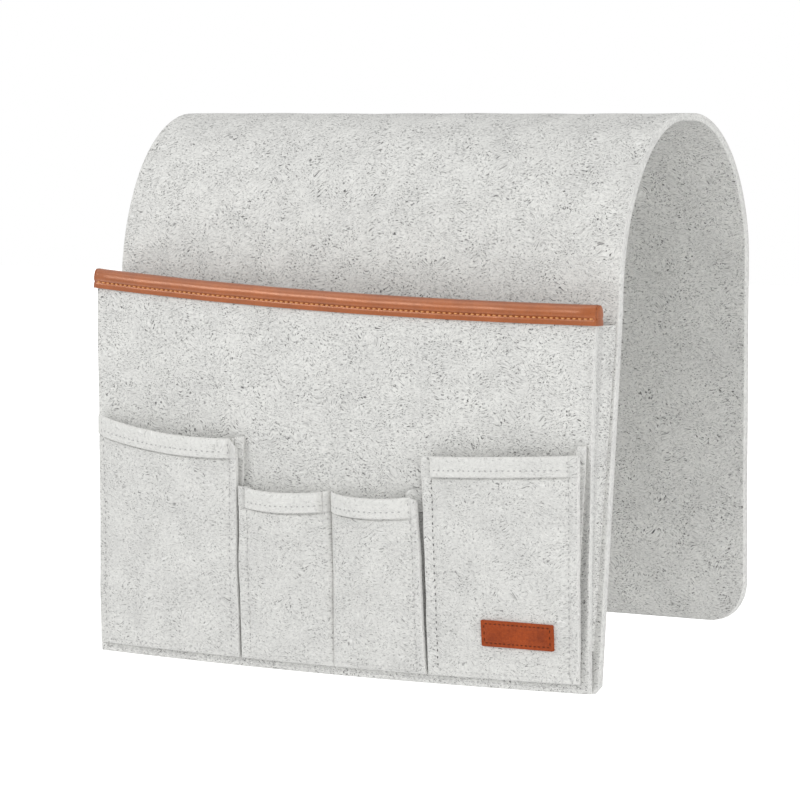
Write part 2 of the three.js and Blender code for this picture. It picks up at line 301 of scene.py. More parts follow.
# Levels and widths that follow
CROWN_TOP = BODY_FELT
FRONT_SPRING = CROWN_TOP - ARCH_FRONT_RISE
BACK_SPRING = CROWN_TOP - ARCH_BACK_RISE
MOUTH_LEVEL = CROWN_TOP - MOUTH_BELOW_CROWN
PANEL_BOTTOM = MOUTH_LEVEL - PANEL_HEIGHT
POCKET_ROW = LEFT_POCKET_WIDTH + MIDDLE_POCKET_WIDTH + RIGHT_POCKET_WIDTH + 2 * POCKET_SPACING
PANEL_BOTTOM_HALF = (POCKET_ROW + RIGHT_MARGIN) / 2
PANEL_TOP_HALF = PANEL_BOTTOM_HALF + PANEL_FLARE / 2
BODY_HALF = PANEL_BOTTOM_HALF + SIDE_REVEAL
FLAP_BOTTOM = BACK_SPRING - SEAM_GAP - FLAP_LENGTH
TRIM_REACH = PANEL_FELT / 2 + SEAM_GAP + TRIM_LEATHER / 2
TRIM_HALF = PANEL_TOP_HALF + TRIM_OVERHANG - TRIM_END


def lerp(a, b, t):
    return a + (b - a) * t


def smooth(t):
    t = np.clip(t, 0, 1)
    return t * t * (3 - 2 * t)


def bell(distance, width):
    return np.exp(-((distance / width) ** 2))


def unit(vectors):
    return vectors / np.maximum(np.linalg.norm(vectors, axis=-1, keepdims=True), TINY)


def ripple(across, along, seed, waves=FELT_WAVES):
    """The slow unevenness of felt, from -1 to 1, made of a few crossing waves."""
    draw = np.random.default_rng(seed)
    total = 0.0
    for wave in waves:
        turn = draw.uniform(0, math.pi)
        phase = draw.uniform(0, 2 * math.pi)
        travel = across * math.cos(turn) + along * math.sin(turn)
        total = total + np.sin(2 * math.pi * travel / wave + phase)
    return total / len(waves)


def spaced(start, end, step, support=EDGE_SUPPORT):
    """Stations from start to end about a step apart, with one more close to each end."""
    count = max(int(round((end - start) / step)), 2)
    inner = np.linspace(start + support, end - support, count)
    return np.concatenate([[start], inner, [end]])


# Meshes


def border(grid):
    """The grid's outline in order round its four sides, without repeating a corner."""
    return np.concatenate([grid[0, :-1], grid[:-1, -1], grid[-1, :0:-1], grid[:0:-1, 0]])


def distances(points, axis=0):
    """How far along a line, or along one axis of a grid, each point is."""
    steps = np.linalg.norm(np.diff(points, axis=axis), axis=-1)
    first = np.zeros_like(np.take(steps, [0], axis=axis))
    return np.concatenate([first, np.cumsum(steps, axis=axis)], axis=axis)


def quads(index):
    return np.stack([index[:-1, :-1], index[:-1, 1:], index[1:, 1:], index[1:, :-1]], -1).reshape(-1, 4)


def edge_moves(grid, radius):
    """How far, and which way, the border stands out from where a rounded edge begins."""
    whole = slice(None)
    sides = (
        ((0, whole), (1, whole)),
        ((-1, whole), (-2, whole)),
        ((whole, 0), (whole, 1)),
        ((whole, -1), (whole, -2)),
    )
    moves = np.zeros_like(grid)
    for edge, beside in sides:
        step = grid[edge] - grid[beside]
        room = np.linalg.norm(step, axis=-1, keepdims=True)
        moves[edge] += unit(step) * np.minimum(radius, EDGE_SHARE * room)
    return moves


def rounded_rim(face, back, moves):
    """Four rings of points that lead over a sheet's cut edge from its face to its back."""
    out = border(moves)
    across = border(back) - border(face)
    thick = np.linalg.norm(across, axis=-1, keepdims=True)
    depth = np.minimum(np.linalg.norm(out, axis=-1, keepdims=True), EDGE_SHARE * thick)
    through = depth * across / thick
    rings = []
    for start, sense in ((border(face), 1), (border(back), -1)):
        for angle in (math.pi / 4, math.pi / 2):
            rings.append(start + out * math.sin(angle) + sense * through * (1 - math.cos(angle)))
    return [rings[0], rings[1], rings[3], rings[2]]


def placed(name, data):
    """A new object in the scene."""
    obj = bpy.data.objects.new(name, data)
    bpy.context.scene.collection.objects.link(obj)
    return obj


def mesh_object(name, points, faces, uvs, materials, which=None):
    """An object of quads in metres from points in millimetres, facing outwards."""
    corners = points[faces]
    volume = sum(
        np.einsum("ij,ij->", corners[:, 0], np.cross(corners[:, i], corners[:, i + 1])) for i in (1, 2)
    )
    if volume < 0:
        faces = faces[:, ::-1]
        uvs = uvs[:, ::-1]
    mesh = bpy.data.meshes.new(name)
    mesh.from_pydata((points * MM).tolist(), [], faces.tolist())
    mesh.uv_layers.new(name="Felt")
    mesh.uv_layers["Felt"].data.foreach_set("uv", (uvs * MM).reshape(-1).astype(np.float32))
    mesh.shade_smooth()
    for material in materials:
        mesh.materials.append(material)
    if which is not None:
        mesh.polygons.foreach_set("material_index", which.astype(np.int32))
    return placed(name, mesh)


def sheet_object(name, face, back, radius, material, face_material=None, faced=None):
    """A closed sheet from the grids of its two faces, with its cut edge rounded over.

    The columns of the first face that faced marks can show another material.
    """
    moves = edge_moves((face + back) / 2, radius)
    face = face - moves
    back = back - moves
    rim = rounded_rim(face, back, moves)
    rows, columns = face.shape[:2]
    index = np.arange(rows * columns).reshape(rows, columns)
    ring = len(rim[0])
    loops = [border(index)]
    loops += [2 * rows * columns + i * ring + np.arange(ring) for i in range(len(rim))]
    loops += [border(index) + rows * columns]
    loops = np.array([np.append(loop, loop[0]) for loop in loops])
    points = np.concatenate([face.reshape(-1, 3), back.reshape(-1, 3), *rim])

    pattern_x, pattern_y = PATTERN_AT[name]
    middle = (face + back) / 2
    uv = np.stack([distances(middle, 1) + pattern_x, distances(middle, 0) + pattern_y], -1)
    uv = uv.reshape(-1, 2)
    round_rim = distances(points[loops[0]]) + pattern_x
    across_rim = distances(points[loops[:, 0]]) + pattern_y + RIM_PATTERN_SHIFT
    rim_uv = np.stack(np.meshgrid(round_rim, across_rim), -1).reshape(-1, 2)
    rim_uv = rim_uv[quads(np.arange(loops.size).reshape(loops.shape))]

    face_quads = quads(index)
    faces = np.concatenate([face_quads[:, ::-1], face_quads + rows * columns, quads(loops)])
    uvs = np.concatenate([uv[face_quads[:, ::-1]], uv[face_quads] + BACK_PATTERN_SHIFT, rim_uv])
    materials = [material]
    which = np.zeros(len(faces))
    if material in (FELT, POCKET_WOOL):
        materials.append(CUT_EDGE)
        which[2 * len(face_quads) :] = 1
    if face_material is not None:
        materials.append(face_material)
        which[: len(face_quads)] = np.tile(faced * (len(materials) - 1), rows - 1)
    return mesh_object(name, points, faces, uvs, materials, which)


# Stitches


@dataclass
class Sewing:
    """How a seam is sewn: its thread, the stitches' pitch and length, and the thread's radius."""

    thread: bpy.types.Material
    pitch: float
    length: float
    radius: float


def stitch_row(name, places, along, out, sewing):
    """A short bowed thread at each place, lying along the seam and dipping in at its ends."""
    travel = np.linspace(-1, 1, STITCH_RINGS)
    swell = np.sqrt(np.maximum(1 - np.abs(travel) ** 3, STITCH_TIP))
    turn = 2 * math.pi * np.arange(STITCH_SIDES) / STITCH_SIDES
    place = places[:, None, None, :]
    forward = unit(along)[:, None, None, :]
    side = np.cross(out, forward)
    ahead = (travel * sewing.length / 2)[None, :, None, None]
    bow = (sewing.radius * (STITCH_RISE - STITCH_DIP * travel ** 2))[None, :, None, None]
    girth = (sewing.radius * swell)[None, :, None, None]
    lift = girth * np.sin(turn)[None, None, :, None] + bow
    reach = girth * np.cos(turn)[None, None, :, None]
    points = (place + forward * ahead + out * lift + side * reach).reshape(-1, 3)
    index = np.arange(len(points)).reshape(-1, STITCH_RINGS, STITCH_SIDES)
    faces = []
    for i in range(STITCH_SIDES):
        j = (i + 1) % STITCH_SIDES
        strip = [index[:, :-1, i], index[:, :-1, j], index[:, 1:, j], index[:, 1:, i]]
        faces.append(np.stack(strip, -1).reshape(-1, 4))
    for half in ((0, 1, 2, 3), (0, 3, 4, 5)):
        faces.append(index[:, 0][:, half[::-1]])
        faces.append(index[:, -1][:, half])
    faces = np.concatenate(faces)
    return mesh_object(name, points, faces, np.zeros((len(faces), 4, 2)), [sewing.thread])


def sew(name, line, out, parent, sewing):
    """Stitches at an even pitch along a line of points, riding with the piece they are sewn through."""
    travelled = distances(line)
    count = max(int(travelled[-1] / sewing.pitch), 1)
    at = (np.arange(count) + 0.5) * travelled[-1] / count

    def on_line(travel):
        return np.stack([np.interp(travel, travelled, line[:, i]) for i in range(3)], -1)

    along = on_line(at + STITCH_AIM) - on_line(at - STITCH_AIM)
    row = stitch_row(name, on_line(at), along, out, sewing)
    row.parent = parent


# Materials


class Graph:
    """A material's node tree, with short calls to add nodes and to link them."""

    def __init__(self, name):
        self.material = bpy.data.materials.new(name)
        self.material.use_nodes = True
        self.tree = self.material.node_tree
        self.shader = self.tree.nodes["Principled BSDF"]

    def put(self, socket, value):
        """Link a socket to another one, or set it to a plain value."""
        if isinstance(value, bpy.types.NodeSocket):
            self.tree.links.new(value, socket)
        else:
            socket.default_value = value

    def add(self, kind, inputs=None, **settings):
        node = self.tree.nodes.new("ShaderNode" + kind)
        for key, value in settings.items():
            setattr(node, key, value)
        for key, value in (inputs or {}).items():
            self.put(node.inputs[key], value)
        return node

    def into(self, socket, value):
        self.put(self.shader.inputs[socket], value)

    def uv(self):
        return self.add("TexCoord").outputs["UV"]

    def noise(self, vector, scale, detail, roughness=0.5, output="Fac"):
        inputs = {"Vector": vector, "Scale": scale, "Detail": detail, "Roughness": roughness}
        return self.add("TexNoise", inputs).outputs[output]

    def between(self, value, low, high, to_low=0.0, to_high=1.0):
        limits = {"From Min": low, "From Max": high, "To Min": to_low, "To Max": to_high}
        return self.add("MapRange", {"Value": value, **limits}).outputs["Result"]

    def math(self, operation, a, b):
        return self.add("Math", {0: a, 1: b}, operation=operation).outputs["Value"]

    def times(self, a, b):
        return self.math("MULTIPLY", a, b)

    def mix(self, factor, a, b):
        return self.add("Mix", {0: factor, 6: a, 7: b}, data_type="RGBA").outputs[2]

    def bump(self, height, strength, distance, normal=None):
        inputs = {"Height": height, "Strength": strength, "Distance": distance}
        if normal is not None:
            inputs["Normal"] = normal
        return self.add("Bump", inputs).outputs["Normal"]


# The felt's wool and fibres, and how fine its patterns are
PALE_WOOL = (0.84, 0.84, 0.81)
GREY_WOOL = (0.59, 0.59, 0.575)
LIGHT_FIBRE = (0.93, 0.93, 0.91)
DULL_FIBRE = (0.31, 0.31, 0.305, 1)
DARK_FIBRE = (0.035, 0.035, 0.035, 1)
CLOUD_SCALE = 38.0
PATCH_SCALE = 75.0
FLOCK_SCALE = 520.0
WANDER_SCALE = 70.0
WANDER_REACH = 0.012
NAP_HEIGHT = 0.0006

# The same for the leather's tones and pebbles and for the thread's twist
LEATHER_TONE_SCALE = 60.0
LEATHER_MOTTLE_SCALE = 700.0
TONE_HEIGHT = 0.0008
PEBBLE_HEIGHT = 0.0002
TWIST_SCALE = 900.0
TWIST_HEIGHT = 0.0002

# Fibres that show in the felt: the way they lie, a shift of the pattern, and their length and width
DULL_FLECKS = (
    (0.2, (0.0, 0.0, 0.0), 2.4, 0.85),
    (1.3, (3.1, 1.7, 0.0), 2.0, 0.85),
    (2.3, (7.7, 5.2, 0.0), 2.8, 0.85),
)
DARK_FLECKS = (
    (0.7, (1.9, 9.4, 0.0), 1.7, 0.95),
    (2.0, (6.3, 4.6, 0.0), 1.5, 0.95),
    (2.8, (8.5, 2.2, 0.0), 2.4, 0.9),
)
LIGHT_STRANDS = (1.9, (4.4, 2.8, 0.0), 4.2, 0.7)


def fibres(graph, warp, way, low, high):
    """Fibres lying one way: noise stretched along them, kept where it peaks."""
    turn, shift, length, width = way
    inputs = {
        "Vector": warp,
        "Rotation": (0, 0, turn),
        "Location": shift,
        "Scale": (1 / (length * MM), 1 / (width * MM), 1.0),
    }
    stretched = graph.add("Mapping", inputs).outputs["Vector"]
    return graph.between(graph.noise(stretched, 1.0, 1.0), low, high)


def fleck_layers(graph, warp, ways, low, high):
    """The strongest of several layers of fibres, each lying its own way."""
    strongest, *others = [fibres(graph, warp, way, low, high) for way in ways]
    for layer in others:
        strongest = graph.math("MAXIMUM", strongest, layer)
    return strongest


def toned(colour, tone):
    return (*(tone * part for part in colour), 1)


def felt_material(name, flecked, clouded, tone):
    """Pressed wool felt: pale wool clouded with grey, with darker fibres lying in it."""
    graph = Graph(name)
    uv = graph.uv()
    wander = graph.noise(uv, WANDER_SCALE, 1.0, output="Color")
    drift = graph.add("VectorMath", {0: wander, "Scale": WANDER_REACH}, operation="SCALE")
    inputs = {0: uv, 1: drift.outputs["Vector"]}
    warp = graph.add("VectorMath", inputs, operation="ADD").outputs["Vector"]
    clouds = graph.noise(uv, CLOUD_SCALE, 3.0, 0.6)
    flock = graph.noise(uv, FLOCK_SCALE, 4.0, 0.7)
    cloud_shade = graph.between(clouds, 0.3, 0.7, 0.0, 0.4)
    flock_shade = graph.between(flock, 0.36, 0.66, 0.0, 0.6)
    shade = graph.times(graph.math("ADD", cloud_shade, flock_shade), clouded)
    colour = graph.mix(shade, toned(PALE_WOOL, tone), toned(GREY_WOOL, tone))
    patches = graph.between(graph.noise(uv, PATCH_SCALE, 3.0), 0.34, 0.66, 0.4, 1.0)
    dull_fleck = graph.times(fleck_layers(graph, warp, DULL_FLECKS, 0.58, 0.68), patches)
    colour = graph.mix(graph.times(dull_fleck, 0.5 * flecked), colour, DULL_FIBRE)
    dark_fleck = graph.times(fleck_layers(graph, warp, DARK_FLECKS, 0.655, 0.70), patches)
    colour = graph.mix(graph.times(dark_fleck, min(flecked, 0.97)), colour, DARK_FIBRE)
    light_fibre = fibres(graph, warp, LIGHT_STRANDS, 0.58, 0.70)
    colour = graph.mix(graph.times(light_fibre, 0.5), colour, toned(LIGHT_FIBRE, tone))
    graph.into("Base Color", colour)
    nap = graph.math("ADD", flock, graph.times(light_fibre, 0.6))
    nap = graph.math("SUBTRACT", nap, graph.times(dark_fleck, 0.7))
    graph.into("Normal", graph.bump(nap, 0.5, NAP_HEIGHT))
    graph.into("Roughness", 0.95)
    graph.into("Specular IOR Level", 0.15)
    graph.into("Sheen Weight", 0.15)
    graph.into("Sheen Roughness", 0.6)
    return graph.material


def leather_material(name, base, deep, roughness, grain, relief, shine, tint):
    """Dyed leather: a mottled tone, deeper in the creases between the pebbles of its grain."""
    graph = Graph(name)
    uv = graph.uv()
    tone = graph.noise(uv, LEATHER_TONE_SCALE, 4.0, 0.6)
    mottle = graph.noise(uv, LEATHER_MOTTLE_SCALE, 3.0, 0.6)
    cells = graph.add("TexVoronoi", {"Vector": uv, "Scale": grain}, feature="DISTANCE_TO_EDGE")
    pebble = graph.between(cells.outputs["Distance"], 0.0, 0.22)
    tone_shade = graph.between(tone, 0.35, 0.7, 0.0, 0.55)
    mottle_shade = graph.between(mottle, 0.4, 0.7, 0.0, 0.35)
    colour = graph.mix(graph.math("ADD", tone_shade, mottle_shade), base, deep)
    colour = graph.mix(graph.between(pebble, 0.0, 0.5, 0.35, 0.0), colour, deep)
    graph.into("Base Color", colour)
    graph.into("Roughness", graph.between(mottle, 0.3, 0.7, roughness - 0.04, roughness + 0.06))
    graph.into("Normal", graph.bump(pebble, relief, PEBBLE_HEIGHT, graph.bump(tone, 0.15, TONE_HEIGHT)))
    graph.into("Specular IOR Level", shine)
    graph.into("Specular Tint", tint)
    return graph.material


def thread_material(name, base, deep, roughness):
    """Sewing thread, a little darker in the lay between its twisted plies."""
    graph = Graph(name)
    place = graph.add("TexCoord").outputs["Object"]
    inputs = {"Vector": place, "Scale": TWIST_SCALE, "Distortion": 3.0, "Detail": 2.0}
    twist = graph.add("TexWave", inputs, bands_direction="DIAGONAL").outputs["Fac"]
    graph.into("Base Color", graph.mix(twist, base, deep))
    graph.into("Roughness", roughness)
    graph.into("Specular IOR Level", 0.15)
    graph.into("Normal", graph.bump(twist, 0.4, TWIST_HEIGHT))
    return graph.material


FELT = felt_material("grey_felt", flecked=1.2, clouded=1.0, tone=0.975)
POCKET_WOOL = felt_material("pocket_felt", flecked=0.7, clouded=1.0, tone=0.94)
REVERSE_WOOL = felt_material("felt_reverse", flecked=0.25, clouded=0.6, tone=0.93)
CUT_EDGE = felt_material("felt_cut_edge", flecked=0.35, clouded=1.0, tone=1.0)
TRIM = leather_material(
    "cognac_leather",
    base=(0.36, 0.092, 0.020, 1),
    deep=(0.18, 0.038, 0.008, 1),
    roughness=0.30,
    grain=1500.0,
    relief=0.05,
    shine=1.0,
    tint=(1.0, 0.62, 0.44, 1),
)
LABEL = leather_material(
    "label_leather",
    base=(0.41, 0.072, 0.011, 1),
    deep=(0.15, 0.022, 0.004, 1),
    roughness=0.5,
    grain=900.0,
    relief=0.25,
    shine=0.2,
    tint=(1.0, 1.0, 1.0, 1),
)
TAN_THREAD = thread_material("tan_thread", (0.80, 0.41, 0.17, 1), (0.60, 0.26, 0.10, 1), 0.5)
SEAM_THREAD = thread_material("seam_thread", (0.17, 0.17, 0.17, 1), (0.08, 0.08, 0.08, 1), 0.7)
HEM_THREAD = thread_material("hem_thread", (0.52, 0.52, 0.51, 1), (0.36, 0.36, 0.36, 1), 0.7)
BASE_THREAD = thread_material("base_thread", (0.66, 0.66, 0.65, 1), (0.50, 0.50, 0.49, 1), 0.7)
LABEL_THREAD = thread_material("label_thread", (0.16, 0.035, 0.012, 1), (0.07, 0.015, 0.005, 1), 0.6)

TRIM_SEWING = Sewing(TAN_THREAD, pitch=3.5, length=2.3, radius=0.55)
BOTTOM_SEWING = Sewing(BASE_THREAD, pitch=3.5, length=2.5, radius=0.36)
GUSSET_SEWING = Sewing(BASE_THREAD, pitch=3.7, length=1.6, radius=0.3)
BASE_SEWING = Sewing(BASE_THREAD, pitch=3.5, length=1.6, radius=0.3)
HEM_SEWING = Sewing(HEM_THREAD, pitch=3.5, length=1.6, radius=0.3)
SIDE_SEWING = Sewing(HEM_THREAD, pitch=3.7, length=1.6, radius=0.32)
DARK_SIDE_SEWING = Sewing(SEAM_THREAD, pitch=3.7, length=1.6, radius=0.32)
LABEL_SEWING = Sewing(LABEL_THREAD, pitch=2.6, length=1.8, radius=0.28)


# The surfaces that the pieces share


def lean(z):
    below = np.maximum(CROWN_TOP - LEAN_START - z, 0)
    eased = np.minimum(below, LEAN_EASE)
    return LEAN_SLOPE * (eased * eased / (2 * LEAN_EASE) + below - eased)


def body_front(z):
    up = np.clip((z - FRONT_SPRING) / ARCH_FRONT_RISE, 0, 1)
    reach = ARCH_FRONT_DEPTH - CROWN_FLAT / 2
    return -CROWN_FLAT / 2 - reach * (1 - up ** ARCH_POWER) ** (1 / ARCH_POWER) - lean(z)


def panel_half(z):
    return lerp(PANEL_BOTTOM_HALF, PANEL_TOP_HALF, (z - PANEL_BOTTOM) / PANEL_HEIGHT)


def mouth_top(u):
    return MOUTH_LEVEL - MOUTH_TILT * u / 2 - MOUTH_SAG * (1 - u * u)


def panel_bottom(u):
    return PANEL_BOTTOM - PANEL_BOTTOM_SAG * (1 - u * u)


def panel_back(u, z):
    v = (z - PANEL_BOTTOM) / PANEL_HEIGHT
    sewn = body_front(PANEL_BOTTOM) - SEAM_GAP
    edge = lerp(sewn, body_front(MOUTH_LEVEL) - GUSSET_DEPTH, v)
    across = np.maximum(1 - u * u, 0) ** PANEL_SWELL_ACROSS
    swell = PANEL_BULGE * across * np.maximum(v, 0) ** PANEL_SWELL_UP
    uneven = PANEL_UNEVEN * ripple(u * PANEL_TOP_HALF, z, PANEL_SEED) * smooth(v / PANEL_CALM_FOOT)
    return edge - swell - uneven


def panel_curl(u, z):
    """How far the panel's right side curls forwards below the trim, where a gusset is sewn on."""
    rise = (z - PANEL_BOTTOM) / PANEL_HEIGHT
    free = smooth(rise / PANEL_CURL_FOOT) * smooth((mouth_top(u) - TRIM_HEIGHT - z) / PANEL_CURL_EASE)
    return PANEL_CURL * free * bell((1 - u) * PANEL_TOP_HALF, PANEL_CURL_WIDTH)


def panel_front(x, z):
    return panel_back(x / panel_half(z), z) - PANEL_FELT


@dataclass
class Pocket:
    """One of the small pockets. A place across it is a share of its width.

    The pairs are for its left and right. A compartment is the depth of its two sides, and a gusset, kept
    under -1 for the left or 1 for the right, is its node, its peak and how deep its hem is pleated.
    """

    name: str
    seed: int
    left: float
    width: float
    shifts: tuple
    heights: tuple
    sag: float
    compartments: tuple
    gussets: dict
    trims: tuple
    spreads: tuple
    chamfer: float
    pressing: tuple
    dark_seam: int = 0

    @property
    def inset(self):
        """The share of the width between a side and its seam."""
        return SEAM_INSET / self.width

    def seams(self):
        """The shares where stitching runs down the pocket's sides."""
        return [self.inset, 1 - self.inset]

    def ends(self):
        """The shares at which the felt is cut off."""
        return self.trims[0] / self.width, 1 - self.trims[1] / self.width

    def dividers(self):
        """The shares at which the front is sewn down between two compartments."""
        count = len(self.compartments)
        return [i / count for i in range(1, count)]

    def past_dividers(self, share):
        """How far a place is to the right of each divider, in millimetres."""
        return [(share - divider) * self.width for divider in self.dividers()]

    def within(self, share):
        """Which compartment a place is in, and how far along that compartment it is."""
        count = len(self.compartments)
        index = np.minimum(np.floor(share * count), count - 1).astype(int)
        return index, np.clip(share * count - index, 0, 1)

    def base(self, share):
        return panel_bottom((self.left + share * self.width) / PANEL_BOTTOM_HALF) + BOTTOM_SEAM

    def height(self, share):
        _, along = self.within(share)
        return lerp(self.heights[0], self.heights[1], share) - self.sag * 4 * along * (1 - along)

    def top(self, share):
        return self.base(share) + self.height(share)

    def rise(self, share, z):
        return np.clip((z - self.base(share)) / self.height(share), 0, 1)

    def x(self, share, z):
        shift = lerp(self.shifts[0], self.shifts[1], share) * self.rise(share, z)
        return self.left + share * self.width + shift

    def depth(self, share):
        """How far the front stands off the panel at its top. Flanges beside gussets are flat."""
        first = self.inset if -1 in self.gussets else 0.0
        last = 1 - self.inset if 1 in self.gussets else 1.0
        index, along = self.within(np.clip(share, first, last))
        sides = np.array(self.compartments)[index]
        edge = lerp(sides[..., 0], sides[..., 1], smooth(along))
        return edge + POCKET_BULGE * (4 * along * (1 - along)) ** POCKET_SWELL_ACROSS

    def back(self, share, z):
        rise = self.rise(share, z)
        depth = self.depth(share)
        uneven = POCKET_UNEVEN * ripple(share * self.width, z, self.seed, POCKET_WAVES)
        uneven = uneven * rise * (1 - rise) * 4 * smooth(depth / POCKET_CALM_DEPTH)
        swell = depth * rise ** POCKET_SWELL_UP + uneven
        return panel_front(self.x(share, z), z) - SEAM_GAP - np.maximum(swell, 0)

    def in_front(self, share, z, out):
        """Points some way in front of the felt's plain front face."""
        return np.stack([self.x(share, z), self.back(share, z) - POCKET_FELT - out, z], -1)

    def dent(self, share):
        """How far the felt's front is drawn in along the side seams and the divider."""
        total = 0.0
        for seam in self.seams():
            total = total + SEAM_DENT * bell((share - seam) * self.width, SEAM_DENT_WIDTH)
        for past in self.past_dividers(share):
            total = total + DIVIDER_DENT * bell(past, DIVIDER_DENT_WIDTH)
        return total

    def flanges(self, share):
        """How much a place belongs to the left and to the right flange, from 0 to 1."""
        start = self.inset * (1 + FLANGE_EASE)
        ease = self.inset * 2 * FLANGE_EASE
        return [smooth((start - inwards) / ease) for inwards in (share, 1 - share)]

    def spread(self, share, z):
        """How far the flanges' outer edges reach towards the next pocket, most at the base."""
        left = self.spreads[0] * np.clip(1 - share / self.inset, 0, 1)
        right = self.spreads[1] * np.clip(1 - (1 - share) / self.inset, 0, 1)
        return (right - left) * (1 - self.rise(share, z))

    def hemmed(self, share):
        """1 where the hem shows, down to 0 on the flanges beside the gussets."""
        left, right = self.flanges(share)
        return 1 - left * (-1 in self.gussets) - right * (1 in self.gussets)

    def press(self, share):
        """How much of the hem's thickness is pressed flat, most at the flanges and by a divider."""
        total = HEM_PRESS
        for pressed, flange in zip(self.pressing, self.flanges(share)):
            total = total + (pressed - HEM_PRESS) * flange
        for past in self.past_dividers(share):
            past_notch = past + NOTCH_FROM_DIVIDER
            ended = smooth(past_notch / HEM_END_EASE + 0.5)
            flat = ended * (1 - smooth((past - DIVIDER_FLAT) / DIVIDER_EASE))
            raised = (1 - ended) * smooth(past_notch / HEM_END_RISE + 1)
            total = total + (DIVIDER_PRESS - HEM_PRESS) * flat + (HEM_END_PRESS - HEM_PRESS) * raised
        return total

    def notch(self, share):
        """How deep the hem is cut beside a divider, where the left compartment's hem ends."""
        cuts = [bell(past + NOTCH_FROM_DIVIDER, HEM_NOTCH_WIDTH) for past in self.past_dividers(share)]
        return HEM_NOTCH * sum(cuts)

    def stand(self, share, offset):
        """How far a layer stands in front of the pocket's middle line once it is sewn."""
        pressed = self.press(share) * np.maximum(offset - POCKET_FELT / 2, 0)
        sunk = self.dent(share) * np.clip(offset / POCKET_FELT + 0.5, 0, 1)
        cut = self.notch(share) * np.clip(offset / POCKET_FELT - 0.5, 0, 1)
        return offset - pressed - sunk - cut

    def corner_cut(self, share):
        """How much lower the top is where the flange's right-hand corner is cut off."""
        past_seam = share - 1 + self.inset
        return self.chamfer * np.clip(past_seam / (self.inset - self.trims[1] / self.width), 0, 1)


LEFT_EDGE = -PANEL_BOTTOM_HALF
MIDDLE_EDGE = LEFT_EDGE + LEFT_POCKET_WIDTH + POCKET_SPACING
RIGHT_EDGE = MIDDLE_EDGE + MIDDLE_POCKET_WIDTH + POCKET_SPACING

LEFT_POCKET = Pocket(
    name="left_pocket",
    seed=31,
    left=LEFT_EDGE,
    width=LEFT_POCKET_WIDTH,
    shifts=(0, LEFT_POCKET_FLARE),
    heights=LEFT_POCKET_HEIGHTS,
    sag=LEFT_POCKET_SAG,
    compartments=((0, LEFT_POCKET_DEPTH),),
    gussets={1: ("left_pocket_gusset", LEFT_GUSSET_PEAK, GUSSET_HEM_PLEAT)},
    trims=LEFT_FLANGE_TRIMS,
    spreads=(0.0, LEFT_GAP_SPREAD),
    chamfer=LEFT_CHAMFER,
    pressing=(LEFT_EDGE_PRESS, FLANGE_PRESS),
)
MIDDLE_POCKET = Pocket(
    name="middle_pocket",
    seed=32,
    left=MIDDLE_EDGE,
    width=MIDDLE_POCKET_WIDTH,
    shifts=(MIDDLE_POCKET_TUCK, 0),
    heights=MIDDLE_POCKET_HEIGHTS,
    sag=MIDDLE_POCKET_SAG,
    compartments=((MIDDLE_POCKET_DEPTHS[0], 0), (0, MIDDLE_POCKET_DEPTHS[1])),
    gussets={
        -1: ("middle_pocket_gusset_left", 0.0, GUSSET_HEM_PLEAT),
        1: ("middle_pocket_gusset_right", MIDDLE_GUSSET_PEAK, GUSSET_PLEAT),
    },
    trims=MIDDLE_FLANGE_TRIMS,
    spreads=(LEFT_GAP_SPREAD, RIGHT_GAP_SPREAD),
    chamfer=MIDDLE_CHAMFER,
    pressing=(FLANGE_PRESS, FLANGE_PRESS),
)
RIGHT_POCKET = Pocket(
    name="right_pocket",
    seed=33,
    left=RIGHT_EDGE,
    width=RIGHT_POCKET_WIDTH,
    shifts=(0, RIGHT_POCKET_FLARE),
    heights=RIGHT_POCKET_HEIGHTS,
    sag=0.0,
    compartments=(RIGHT_POCKET_DEPTHS,),
    gussets={
        -1: ("right_pocket_gusset_left", 0.0, GUSSET_HEM_PLEAT),
        1: ("right_pocket_gusset_right", RIGHT_GUSSET_PEAK, GUSSET_HEM_PLEAT),
    },
    trims=RIGHT_FLANGE_TRIMS,
    spreads=(RIGHT_GAP_SPREAD, 0.0),
    chamfer=0.0,
    pressing=(FLANGE_PRESS, FLANGE_PRESS),
    dark_seam=-1,
)


# The pieces


def finish_sheet(obj, node):
    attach(obj, "saddle")
    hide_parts(node)


def body_outline():
    """The outside of the body seen from its end, from the front's bottom edge to the flap's end."""
    drop = np.linspace(PANEL_BOTTOM, FRONT_SPRING, DROP_POINTS)[:-1]
    angle = np.linspace(0, math.pi / 2, ARCH_POINTS)
    power = 2 / ARCH_POWER
    cosine = np.maximum(np.cos(angle), 0) ** power
    sine = np.sin(angle) ** power
    front_z = FRONT_SPRING + ARCH_FRONT_RISE * sine
    front_y = -CROWN_FLAT / 2 - (ARCH_FRONT_DEPTH - CROWN_FLAT / 2) * cosine - lean(front_z)
    back_z = BACK_SPRING + ARCH_BACK_RISE * sine[::-1]
    back_y = CROWN_FLAT / 2 + (ARCH_BACK_DEPTH - CROWN_FLAT / 2) * cosine[::-1]
    y = np.concatenate([body_front(drop), front_y, back_y, [ARCH_BACK_DEPTH]])
    z = np.concatenate([drop, front_z, back_z, [FLAP_BOTTOM]])
    return np.stack([y, z], -1)


